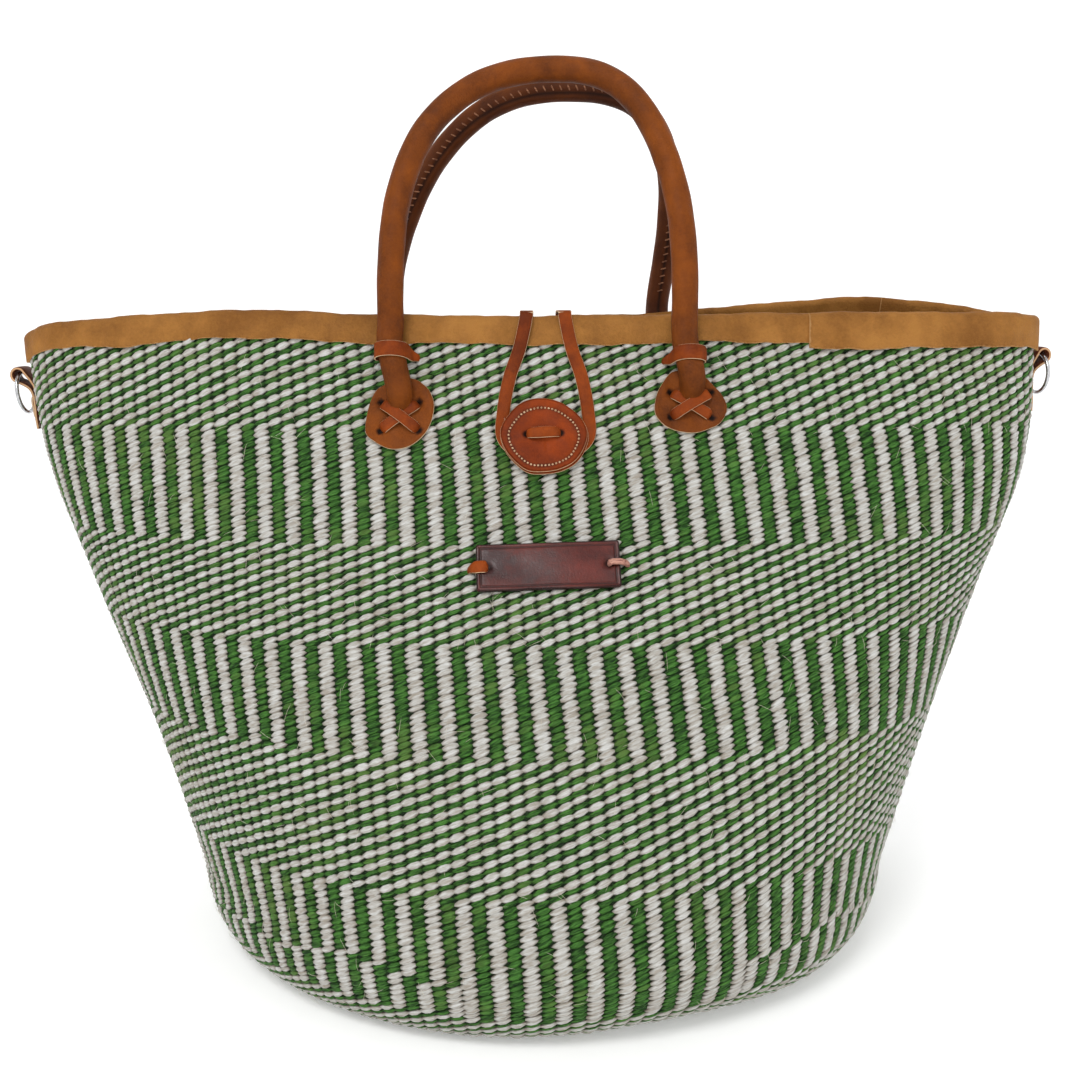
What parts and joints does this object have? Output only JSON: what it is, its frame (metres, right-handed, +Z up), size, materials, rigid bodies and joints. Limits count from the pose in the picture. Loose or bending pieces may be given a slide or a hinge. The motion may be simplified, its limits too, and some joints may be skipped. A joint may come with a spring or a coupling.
{
  "type": "kiondo basket",
  "caption": "Round-based twined sisal basket with a wide flat mouth, leather rim, two rolled leather handles, a loop and button closure and a strap ring at each end.",
  "frame": {"origin": "centre of the base's underside, on the surface that the basket stands on", "axes": "+Z up, +X along the mouth's width, and the button's side faces -Y"},
  "size_m": [0.5276, 0.349, 0.427],
  "materials": {
    "sisal": "coarse two-strand twining in natural and green sisal",
    "binding_leather": "soft ochre leather, satin",
    "handle_leather": "chestnut leather, satin",
    "rope": "twisted sisal rope",
    "tab_leather": "orange brown leather with pale raw edges",
    "lace_leather": "orange brown leather lace",
    "plate_leather": "dark burnished leather",
    "strap_leather": "dark brown leather with pale raw edges",
    "twine": "natural twine",
    "steel": "polished wire"
  },
  "bodies": {
    "basket": {"woven_body": "sisal", "rim_binding_long": "binding_leather", "rim_binding_short": "binding_leather", "front_left_handle_end": "handle_leather", "front_left_leg_rope": "rope", "front_left_tab_lace": "lace_leather", "front_left_backing_patch": "binding_leather", "front_left_keeper": "lace_leather", "front_right_handle_end": "handle_leather", "front_right_leg_rope": "rope", "front_right_tab_lace": "lace_leather", "front_right_backing_patch": "binding_leather", "front_right_keeper": "lace_leather", "rear_left_handle_end": "handle_leather", "rear_left_leg_rope": "rope", "rear_left_tab_lace": "lace_leather", "rear_left_backing_patch": "binding_leather", "rear_left_keeper": "lace_leather", "rear_right_handle_end": "handle_leather", "rear_right_leg_rope": "rope", "rear_right_tab_lace": "lace_leather", "rear_right_backing_patch": "binding_leather", "rear_right_keeper": "lace_leather", "button_lace": "lace_leather", "closure_loop_anchor": "lace_leather", "name_plate": "plate_leather", "name_plate_left_tie": "lace_leather", "name_plate_right_tie": "twine", "left_ring_tab": "strap_leather", "left_ring_tab_lace": "lace_leather", "right_ring_tab": "strap_leather", "right_ring_tab_lace": "lace_leather"},
    "front_handle": {"front_handle_grip": "handle_leather", "front_handle_rope": "rope"},
    "rear_handle": {"rear_handle_grip": "handle_leather", "rear_handle_rope": "rope"},
    "closure_loop_over_mouth": {"closure_loop_left_run": "lace_leather", "closure_loop_right_run": "lace_leather"},
    "closure_loop_end": {"closure_loop_bight": "lace_leather"},
    "button": {"button_back": "tab_leather", "button_face": "tab_leather"},
    "left_ring_body": {"left_ring": "steel"},
    "right_ring_body": {"right_ring": "steel"}
  },
  "joints": [
    {"name": "front_handle_fold", "type": "hinge", "parent": "basket", "child": "front_handle", "pos_m": [0, -0.06346, 0.312], "axis": [1, 0, 0], "range_deg": [-8, 150]},
    {"name": "rear_handle_fold", "type": "hinge", "parent": "basket", "child": "rear_handle", "pos_m": [0, 0.06327, 0.312], "axis": [-1, 0, 0], "range_deg": [-8, 150]},
    {"name": "closure_loop_swing", "type": "hinge", "parent": "basket", "child": "closure_loop_over_mouth", "pos_m": [0.004, 0.0526, 0.3072], "axis": [-1, 0, 0], "range_deg": [0, 230], "deforming": ["closure_loop_anchor", "closure_loop_left_run", "closure_loop_right_run"]},
    {"name": "closure_loop_unfold", "type": "hinge", "parent": "closure_loop_over_mouth", "child": "closure_loop_end", "pos_m": [0.004, -0.0526, 0.3072], "axis": [-1, 0, 0], "range_deg": [0, 86.25], "deforming": ["closure_loop_bight"]},
    {"name": "button_turn", "type": "hinge", "parent": "basket", "child": "button", "pos_m": [0.003, -0.07125, 0.25148], "axis": [0.0267, -0.9323, 0.3606], "range_deg": [-20, 20], "deforming": ["button_lace"]},
    {"name": "left_ring_swing", "type": "hinge", "parent": "basket", "child": "left_ring_body", "pos_m": [-0.26154, 0.00331, 0.27669], "axis": [0.0606, 0.9982, 0], "range_deg": [0, 110]},
    {"name": "right_ring_swing", "type": "hinge", "parent": "basket", "child": "right_ring_body", "pos_m": [0.25605, 0.00931, 0.28656], "axis": [0.2333, -0.9724, 0], "range_deg": [0, 110]}
  ],
  "couplings": [
    {"joint": "closure_loop_unfold", "follows": "closure_loop_swing", "ratio": 0.375}
  ]
}
